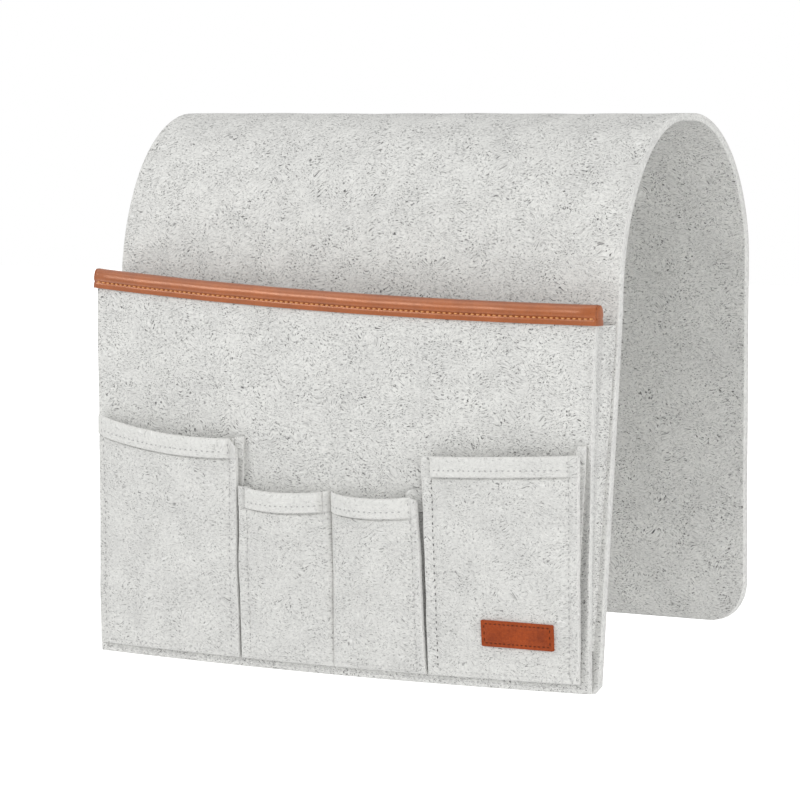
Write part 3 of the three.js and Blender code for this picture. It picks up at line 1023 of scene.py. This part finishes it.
def make_body():
    """The body and the back flap as one sheet, curving over the arch and hanging down as the flap."""
    outline = body_outline()
    travelled = distances(outline)
    length = travelled[-1]
    plain = spaced(0.0, length - FLAP_CORNER_RADIUS, BODY_STEP)
    sweep = np.linspace(math.pi / 2, 0, CORNER_STEPS + 1)[1:]
    at = np.concatenate([plain, length - FLAP_CORNER_RADIUS * (1 - np.cos(sweep))])
    y = np.interp(at, travelled, outline[:, 0])
    z = np.interp(at, travelled, outline[:, 1])
    slope = unit(np.stack([np.gradient(y, at), np.gradient(z, at)], -1))
    out = np.stack([0 * at, -slope[:, 1], slope[:, 0]], -1)[:, None]
    from_end = np.clip(length - at, 0, FLAP_CORNER_RADIUS)
    cut = FLAP_CORNER_RADIUS - np.sqrt(FLAP_CORNER_RADIUS ** 2 - (FLAP_CORNER_RADIUS - from_end) ** 2)
    cut = cut + np.maximum(BODY_CORNER_CUT - at, 0)
    share = spaced(-1.0, 1.0, BODY_STEP / BODY_HALF, EDGE_SUPPORT / BODY_HALF)
    x = share[None, :] * (BODY_HALF - cut)[:, None]
    along = at[:, None]
    free = smooth((along - BODY_UNEVEN_START) / BODY_UNEVEN_EASE)
    hang = smooth((along - FLAP_UNEVEN_START) / FLAP_UNEVEN_EASE)
    uneven = BODY_UNEVEN * free * ripple(x, along, BODY_SEED)
    uneven = uneven + FLAP_UNEVEN * hang * ripple(x, along, FLAP_SEED, FLAP_WAVES)
    even = np.stack([x, y[:, None] + 0 * x, z[:, None] + 0 * x], -1)
    face = even + out * uneven[..., None]
    obj = sheet_object("felt_body", face, face - BODY_FELT * out, BODY_EDGE, FELT)
    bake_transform(obj)
    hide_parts("body_sheet", "back_flap")


def make_panel():
    """The front of the large pocket, sewn to the body along its bottom."""
    u = spaced(-1.0, 1.0, PANEL_STEP / PANEL_TOP_HALF, EDGE_SUPPORT / PANEL_TOP_HALF)[None, :]
    v = spaced(0.0, 1.0, PANEL_STEP / PANEL_HEIGHT, EDGE_SUPPORT / PANEL_HEIGHT)[:, None]
    z = lerp(panel_bottom(u), mouth_top(u) - 2 * TRIM_LEATHER, v)
    in_trim = smooth((z - mouth_top(u) + TRIM_HEIGHT) / PANEL_TRIM_EASE)
    x = u * (panel_half(z) + PANEL_TRIM_REACH * in_trim)
    back = np.stack([x, panel_back(u, z) - panel_curl(u, z), z], -1)
    obj = sheet_object("felt_front_panel", back + PANEL_FELT * FRONT, back, FELT_EDGE, FELT)
    finish_sheet(obj, "large_pocket_front")
    reach = PANEL_BOTTOM_HALF - BOTTOM_STITCH_MARGIN
    line_x = np.linspace(-reach, reach, 2 * LINE_POINTS)
    line_z = panel_bottom(line_x / PANEL_BOTTOM_HALF) + BOTTOM_STITCH_RISE
    line = np.stack([line_x, panel_front(line_x, line_z), line_z], -1)
    sew("bottom_seam_stitches", line, FRONT, obj, BOTTOM_SEWING)


def make_large_gusset(side, node):
    """One side of the large pocket, creased inwards and narrowing towards the bottom."""
    bottom = PANEL_BOTTOM + CABLE_CORNER
    top = mouth_top(side) - TRIM_HEIGHT - SEAM_GAP
    z = spaced(bottom, top, POCKET_STEP)[:, None]
    k = np.linspace(0, 1, GUSSET_STEPS + 1)[None, :]
    half = panel_half(z)
    u = (half - GUSSET_INSET) / half
    on_body = body_front(z) - SEWN_GAP
    on_panel = panel_back(side * u, z) - panel_curl(side * u, z) + SEWN_GAP
    fold = 1 - np.abs(2 * k - 1)
    open_share = np.clip((on_body - on_panel) / GUSSET_DEPTH, 0, 1)
    crease = GUSSET_CREASE * fold ** GUSSET_CREASE_POWER * open_share
    outwards = np.array([float(side), 0.0, 0.0])
    face = np.stack([side * (half - GUSSET_INSET - crease), lerp(on_body, on_panel, k), z + 0 * k], -1)
    name = f"felt_{node}"
    obj = sheet_object(name, face, face - GUSSET_FELT * outwards, FELT_EDGE, FELT)
    finish_sheet(obj, node)
    for tag, place in GUSSET_SEAMS:
        line = face[2:-2, int(round(place * GUSSET_STEPS))]
        sew(f"{name}_{tag}_stitches", line, outwards, obj, GUSSET_SEWING)


def trim_profile():
    """The trim's folded outline from its front edge to its back edge: drop, reach and roll."""
    turn = np.linspace(0, math.pi, TRIM_TURN_STEPS + 1)[1:-1]
    side = spaced(TRIM_ROLL_DROP, TRIM_HEIGHT, TRIM_STEP, TRIM_SUPPORT)
    fall = smooth((side - TRIM_ROLL_DROP) / (TRIM_STITCH_DROP - TRIM_ROLL_DROP))
    reach = TRIM_REACH - TRIM_GROOVE * bell(side - TRIM_STITCH_DROP, TRIM_GROOVE_WIDTH)
    drop = np.concatenate([side[::-1], TRIM_ROLL_DROP * (1 - np.sin(turn)), side])
    reach = np.concatenate([-reach[::-1], -TRIM_REACH * np.cos(turn), reach])
    roll = np.concatenate([fall[::-1] - 1, -np.maximum(np.cos(turn), 0), 0 * side]) * TRIM_ROLL
    return drop[:, None], reach[:, None], roll[:, None]


def trim_layer(x, offset):
    """One face of the trim's leather, whose front roll flattens out towards both ends."""
    u = x / PANEL_TOP_HALF
    drop, reach, roll = trim_profile()
    out = reach + roll * smooth((TRIM_HALF - np.abs(x)) / TRIM_TAPER)
    along = unit(np.stack([np.gradient(out, axis=0), -np.gradient(drop, axis=0) + 0 * x], -1))
    z = mouth_top(u) - drop + along[..., 0] * offset
    middle = panel_back(u, z) - PANEL_FELT / 2
    return np.stack([x + 0 * z, middle + out - along[..., 1] * offset, z], -1)


def make_trim():
    """The leather folded over the large pocket's mouth and sewn through below its roll."""
    x = spaced(-TRIM_HALF, TRIM_HALF, PANEL_STEP)[None, :]
    face = trim_layer(x, TRIM_LEATHER / 2)
    back = trim_layer(x, -TRIM_LEATHER / 2)
    obj = sheet_object("leather_mouth_trim", face, back, TRIM_EDGE, TRIM)
    finish_sheet(obj, "mouth_trim")
    drop = trim_profile()[0][:, 0]
    front_row = int(np.argmin(np.abs(drop[: len(drop) // 2] - TRIM_STITCH_DROP)))
    for tag, row, out in (("front", front_row, FRONT), ("back", len(drop) - 1 - front_row, -FRONT)):
        line = face[row, 1:-1] + TRIM_STITCH_LIFT * out
        sew(f"trim_stitches_{tag}", line, out, obj, TRIM_SEWING)
    for tag, side in (("left", -1), ("right", 1)):
        make_trim_end(f"trim_end_{tag}", side, obj)


def make_trim_end(name, side, trim):
    """The leather turned over one end of the trim, which closes it over the felt."""
    profile = trim_layer(np.array([[side * TRIM_HALF]]), TRIM_LEATHER / 2 - TRIM_END_INSET)[:, 0]
    rows = len(profile) // 2
    front = profile[:rows]
    behind = profile[: -rows - 1 : -1]
    k = np.linspace(0, 1, TRIM_END_STEPS + 1)[None, :, None]
    outwards = np.array([float(side), 0.0, 0.0])
    inner = lerp(front[:, None], behind[:, None], k) + TRIM_END_GAP * outwards
    outer = inner + (TRIM_END_LEATHER + TRIM_END_SWELL * np.sin(math.pi * k)) * outwards
    obj = sheet_object(name, outer, inner, THIN_EDGE, TRIM)
    obj.parent = trim


def hem_path(heights, hems, felt):
    """A folded hem's middle line in each column: offset from the main layer, and height."""
    bend = (felt + HEM_LAYER_GAP) / 2
    below = spaced(0.0, 1.0, POCKET_STEP / heights.max(), EDGE_SUPPORT / heights.max())[:-2, None]
    beside = np.linspace(-HEM_EDGE_BELOW, HEM_EDGE_ABOVE, HEM_EDGE_STEPS + 1)[:, None]
    behind = np.linspace(0, 1, HEM_BEHIND_STEPS + 1)[1:, None]
    turn = np.linspace(0, math.pi, FOLD_STEPS + 2)[1:-1, None]
    lap = spaced(0.0, 1.0, LAP_STEP / np.max(hems), LAP_SUPPORT / np.max(hems))[:, None]
    level = heights - bend - felt / 2
    edge = heights - hems
    above = lerp(edge + HEM_EDGE_ABOVE, level, behind)
    main = np.concatenate([below * (edge - HEM_EDGE_BELOW), edge + beside, above])
    z = np.concatenate([main, level + bend * np.sin(turn), lerp(level, edge, lap)])
    wide = np.ones_like(heights)
    lip = HEM_LIFT * smooth((lap - HEM_LIFT_START) / (1 - HEM_LIFT_START))
    offset = np.concatenate([0 * main, bend * (1 - np.cos(turn)) * wide, (2 * bend + lip) * wide])
    return offset, z


def two_faces(offset, z, felt):
    """Offsets and heights of both faces of a sheet whose middle line runs down the rows."""
    along = unit(np.stack([np.gradient(offset, axis=0), np.gradient(z, axis=0)], -1))
    normal_offset, normal_z = -along[..., 1], along[..., 0]
    half = felt / 2
    return [(offset + sense * half * normal_offset, z + sense * half * normal_z) for sense in (1, -1)]


def pocket_columns(pocket):
    """Shares across a pocket, closer together beside its divider and its side seams."""
    step = POCKET_STEP / pocket.width
    first, last = pocket.ends()
    shares = spaced(first, last, step, EDGE_SUPPORT / pocket.width)
    notches = [divider - NOTCH_FROM_DIVIDER / pocket.width for divider in pocket.dividers()]
    marks = pocket.dividers() + notches + pocket.seams()
    for mark in marks:
        shares = shares[np.abs(shares - mark) > SEAM_CLEAR_STEPS * step]
    beside = np.array(SEAM_COLUMNS) / pocket.width
    return np.sort(np.concatenate([shares] + [mark + beside for mark in marks]))


def make_pocket(pocket):
    """A small pocket's front with its folded hem, drawn in by its seams."""
    share = pocket_columns(pocket)[None, :]
    cut = pocket.corner_cut(share)
    offset, z = hem_path(pocket.height(share) - cut, HEM_HEIGHT - cut, POCKET_FELT)
    base = pocket.base(share)
    grids = []
    for face_offset, face_z in two_faces(offset, z, POCKET_FELT):
        level = base + face_z
        middle = pocket.back(share, level) - POCKET_FELT / 2
        under_hem = face_z - pocket.height(share) + HEM_HEIGHT + HEM_CREASE_WIDTH
        crease = HEM_CREASE * bell(under_hem, HEM_CREASE_WIDTH) * pocket.hemmed(share)
        crease = crease * np.clip(face_offset / POCKET_FELT + 0.5, 0, 1)
        out = pocket.stand(share, face_offset) - crease
        x = pocket.x(share, level) + pocket.spread(share, level)
        grids.append(np.stack([x, middle - out, level], -1))
    name = f"felt_{pocket.name}"
    hemmed = pocket.hemmed((share[0, 1:] + share[0, :-1]) / 2) > 0.5
    obj = sheet_object(name, *grids, FELT_EDGE, POCKET_WOOL, face_material=REVERSE_WOOL, faced=hemmed)
    length = (pocket.height(share).mean() + HEM_HEIGHT) * MM
    finish_sheet(obj, f"{pocket.name}_front")
    return obj


def pocket_line(pocket, share, z, on_hem=False):
    """Points on a pocket's front face or on the front of its hem."""
    share, z = np.broadcast_arrays(np.asarray(share, float), np.asarray(z, float))
    offset = POCKET_FELT / 2 + on_hem * (POCKET_FELT + HEM_LAYER_GAP)
    return pocket.in_front(share, z, pocket.stand(share, offset) - POCKET_FELT / 2)


def sew_pocket(pocket, obj):
    """The stitches down a pocket's side seams and along its hem and its base."""
    for tag, side, seam in zip(("left", "right"), (-1, 1), pocket.seams()):
        sewing = DARK_SIDE_SEWING if side == pocket.dark_seam else SIDE_SEWING
        base = pocket.base(seam)
        top = pocket.top(seam)
        below_hem = np.linspace(base + SEAM_ABOVE_BASE, top - HEM_HEIGHT - SEAM_BELOW_HEM, LINE_POINTS)
        over_hem = np.linspace(top - HEM_HEIGHT + HEM_SEAM_RISE, top - HEM_SEAM_DROP, LINE_POINTS)
        for part, upright in (("seam", below_hem), ("hem_seam", over_hem)):
            line = pocket_line(pocket, seam, upright, part == "hem_seam")
            sew(f"{pocket.name}_{tag}_{part}_stitches", line, FRONT, obj, sewing)
    first, last = pocket.seams()
    margin = HEM_STITCH_MARGIN / pocket.width
    across = np.linspace(first + margin, last - margin, LINE_POINTS)
    line = pocket_line(pocket, across, pocket.top(across) - HEM_STITCH_DROP, True)
    sew(f"{pocket.name}_hem_stitches", line, FRONT, obj, HEM_SEWING)
    line = pocket_line(pocket, across, pocket.base(across) + BASE_STITCH_RISE)
    sew(f"{pocket.name}_base_stitches", line, FRONT, obj, BASE_SEWING)


def make_pocket_gusset(pocket, side, node, peak, hem_pleat):
    """A wedge between the panel and a pocket's front, pleated inwards, with a hem of its own."""
    flange = (SIDE_FLANGE + GUSSET_FELT / 2) / pocket.width
    share = np.array(1 - flange if side > 0 else flange)
    tip_depth = GUSSET_TIP + 2 * SEAM_GAP
    tip_rise = (tip_depth / pocket.depth(share)) ** (1 / POCKET_SWELL_UP)
    tip = pocket.base(share) + pocket.height(share) * tip_rise
    k = np.linspace(0, 1, GUSSET_STEPS + 1)[None, :]
    fold = 1 - np.abs(2 * k - 1)
    lower = smooth((k - GUSSET_PEAK_START) / GUSSET_PEAK_EASE)
    heights = pocket.top(share) + peak * (1 - lower) - tip
    slim = 1 - GUSSET_SLIMMING * smooth(2 * k - 1)
    offset, up = hem_path(heights, GUSSET_HEM, POCKET_GUSSET_FELT)
    grids = []
    for face_offset, face_z in two_faces(offset, up, POCKET_GUSSET_FELT):
        z = tip + face_z
        front_x = pocket.x(share, z)
        front_y = pocket.back(share, z) + SEWN_GAP
        panel_x = front_x + side * GUSSET_SPLAY * pocket.rise(share, z)
        panel_y = panel_front(panel_x, z) - SEWN_GAP
        below_hem = smooth((pocket.top(share) - GUSSET_HEM - z) / GUSSET_PLEAT_EASE)
        pleat = lerp(hem_pleat, GUSSET_PLEAT, below_hem)
        tucked = pleat * np.hypot(front_x - panel_x, front_y - panel_y)
        x = lerp(panel_x, front_x, k) - side * tucked * fold
        y = lerp(panel_y, front_y, k)
        run = unit(np.stack([np.gradient(x, axis=1), np.gradient(y, axis=1)], -1))
        x = x - side * run[..., 1] * face_offset * slim
        y = y + side * run[..., 0] * face_offset * slim
        grids.append(np.stack([x, y, z], -1))
    obj = sheet_object(f"felt_{node}", *grids, THIN_EDGE, POCKET_WOOL)
    finish_sheet(obj, node)


def make_label(pocket):
    """A leather patch, swollen a little inside its sewn border."""
    middle = pocket.base(LABEL_FROM_LEFT / pocket.width) + LABEL_ABOVE_BASE
    half_x, half_z = LABEL_WIDTH / 2, LABEL_HEIGHT / 2
    across = spaced(-half_x, half_x, LABEL_STEP, LABEL_SUPPORT)[None, :]
    up = spaced(-half_z, half_z, LABEL_STEP, LABEL_SUPPORT)[:, None]
    beyond = np.maximum(np.abs(across) - (half_x - LABEL_CORNER), 0)
    reach = half_z - LABEL_CORNER + np.sqrt(np.maximum(LABEL_CORNER ** 2 - beyond ** 2, 0))
    z = middle + up * reach / half_z
    share = (LABEL_FROM_LEFT + across) / pocket.width + 0 * z
    inwards = np.minimum(half_x - np.abs(across), half_z - np.abs(up)) - LABEL_STITCH_INSET
    groove = LABEL_GROOVE * bell(inwards, LABEL_GROOVE_WIDTH)
    pillow = LABEL_PILLOW * smooth(inwards / LABEL_PILLOW_EASE)
    back = pocket.in_front(share, z, LABEL_SEAT)
    face = pocket.in_front(share, z, LABEL_SEAT + LABEL_LEATHER + pillow - groove)
    obj = sheet_object("leather_label", face, back, THIN_EDGE, LABEL)
    finish_sheet(obj, "label_patch")
    a = half_x - LABEL_STITCH_INSET
    b = half_z - LABEL_STITCH_INSET
    corners = [(-a, -b), (a, -b), (a, b), (-a, b)]
    t = np.linspace(0, 1, LINE_POINTS // 2)
    for i, (a0, b0) in enumerate(corners):
        a1, b1 = corners[(i + 1) % len(corners)]
        line_share = (LABEL_FROM_LEFT + lerp(a0, a1, t)) / pocket.width
        line = pocket.in_front(line_share, middle + lerp(b0, b1, t), LABEL_LEATHER - LABEL_STITCH_DIP)
        sew(f"label_stitches_{i + 1}", line, FRONT, obj, LABEL_SEWING)


make_body()
make_panel()
make_large_gusset(-1, "large_pocket_gusset_left")
make_large_gusset(1, "large_pocket_gusset_right")
make_trim()
for small_pocket in (LEFT_POCKET, MIDDLE_POCKET, RIGHT_POCKET):
    sew_pocket(small_pocket, make_pocket(small_pocket))
    for gusset_side, gusset in small_pocket.gussets.items():
        make_pocket_gusset(small_pocket, gusset_side, *gusset)
make_label(RIGHT_POCKET)


# The studio: a white floor and surround, three soft lights and the camera

VIEW_TURN = math.radians(37.0)
VIEW_DROP = math.radians(3.5727)
VIEW_DISTANCE = 2.55756
VIEW_TARGET = Vector((-0.0225, 0.0, 0.00414))
LENS = 206.85
SENSOR_WIDTH = 36.0
FLOOR_LEVEL = -0.62
FLOOR_SIZE = 24.0
FLOOR_GLOW = (0.1, 0.9)
AMBIENT = 0.62
LIGHT_TARGET = Vector((0.0, -0.05, -0.15))
LIGHTS = {
    "top_light": {"direction": (-0.5, -0.3, 0.8), "distance": 2.0, "size": (1.0, 1.0), "power": 5.0},
    "front_light": {"direction": (-0.62, -0.70, 0.4), "distance": 2.0, "size": (0.9, 0.4), "power": 10.0},
    "side_light": {"direction": (0.84, -0.54, 0.0), "distance": 2.4, "size": (1.4, 1.4), "power": 25.0},
}


def make_camera():
    data = bpy.data.cameras.new("camera")
    data.lens = LENS
    data.sensor_width = SENSOR_WIDTH
    camera = placed("camera", data)
    back = Vector((math.sin(VIEW_TURN), -math.cos(VIEW_TURN), 0.0))
    camera.location = VIEW_TARGET + VIEW_DISTANCE * back
    ahead = -back * math.cos(VIEW_DROP) - Vector((0, 0, math.sin(VIEW_DROP)))
    camera.rotation_euler = ahead.to_track_quat("-Z", "Y").to_euler()
    bpy.context.scene.camera = camera


def make_light(name, direction, distance, size, power):
    data = bpy.data.lights.new(name, "AREA")
    data.shape = "RECTANGLE"
    data.size, data.size_y = size
    data.energy = power
    light = placed(name, data)
    light.location = LIGHT_TARGET + distance * Vector(direction).normalized()
    light.rotation_euler = (LIGHT_TARGET - light.location).to_track_quat("-Z", "Y").to_euler()


def seen_directly(tree, lighting, seen):
    """One level for the rays that light the object, and another for what is seen, also in a gloss."""
    path = tree.nodes.new("ShaderNodeLightPath")
    total = path.outputs["Is Camera Ray"]
    for other in ("Is Glossy Ray", "Is Transmission Ray"):
        either = tree.nodes.new("ShaderNodeMath")
        either.operation = "MAXIMUM"
        tree.links.new(total, either.inputs[0])
        tree.links.new(path.outputs[other], either.inputs[1])
        total = either.outputs["Value"]
    level = tree.nodes.new("ShaderNodeMapRange")
    level.inputs["To Min"].default_value = lighting
    level.inputs["To Max"].default_value = seen
    tree.links.new(total, level.inputs["Value"])
    return level.outputs["Result"]


def make_surround():
    world = bpy.data.worlds.new("surround")
    world.use_nodes = True
    tree = world.node_tree
    background = tree.nodes["Background"]
    background.inputs["Color"].default_value = (1, 1, 1, 1)
    tree.links.new(seen_directly(tree, AMBIENT, 1.0), background.inputs["Strength"])
    bpy.context.scene.world = world


def make_floor():
    half = FLOOR_SIZE / 2
    mesh = bpy.data.meshes.new("floor")
    corners = [(-half, -half), (half, -half), (half, half), (-half, half)]
    mesh.from_pydata([(*corner, FLOOR_LEVEL) for corner in corners], [], [(0, 1, 2, 3)])
    graph = Graph("floor_white")
    graph.into("Base Color", (0.8, 0.8, 0.8, 1))
    graph.into("Roughness", 1.0)
    graph.into("Specular IOR Level", 0.0)
    graph.into("Emission Color", (1, 1, 1, 1))
    graph.into("Emission Strength", seen_directly(graph.tree, *FLOOR_GLOW))
    mesh.materials.append(graph.material)
    floor = placed("floor", mesh)


make_camera()
for light_name, light_settings in LIGHTS.items():
    make_light(light_name, **light_settings)
make_surround()
make_floor()
bpy.context.scene.view_settings.view_transform = "Standard"
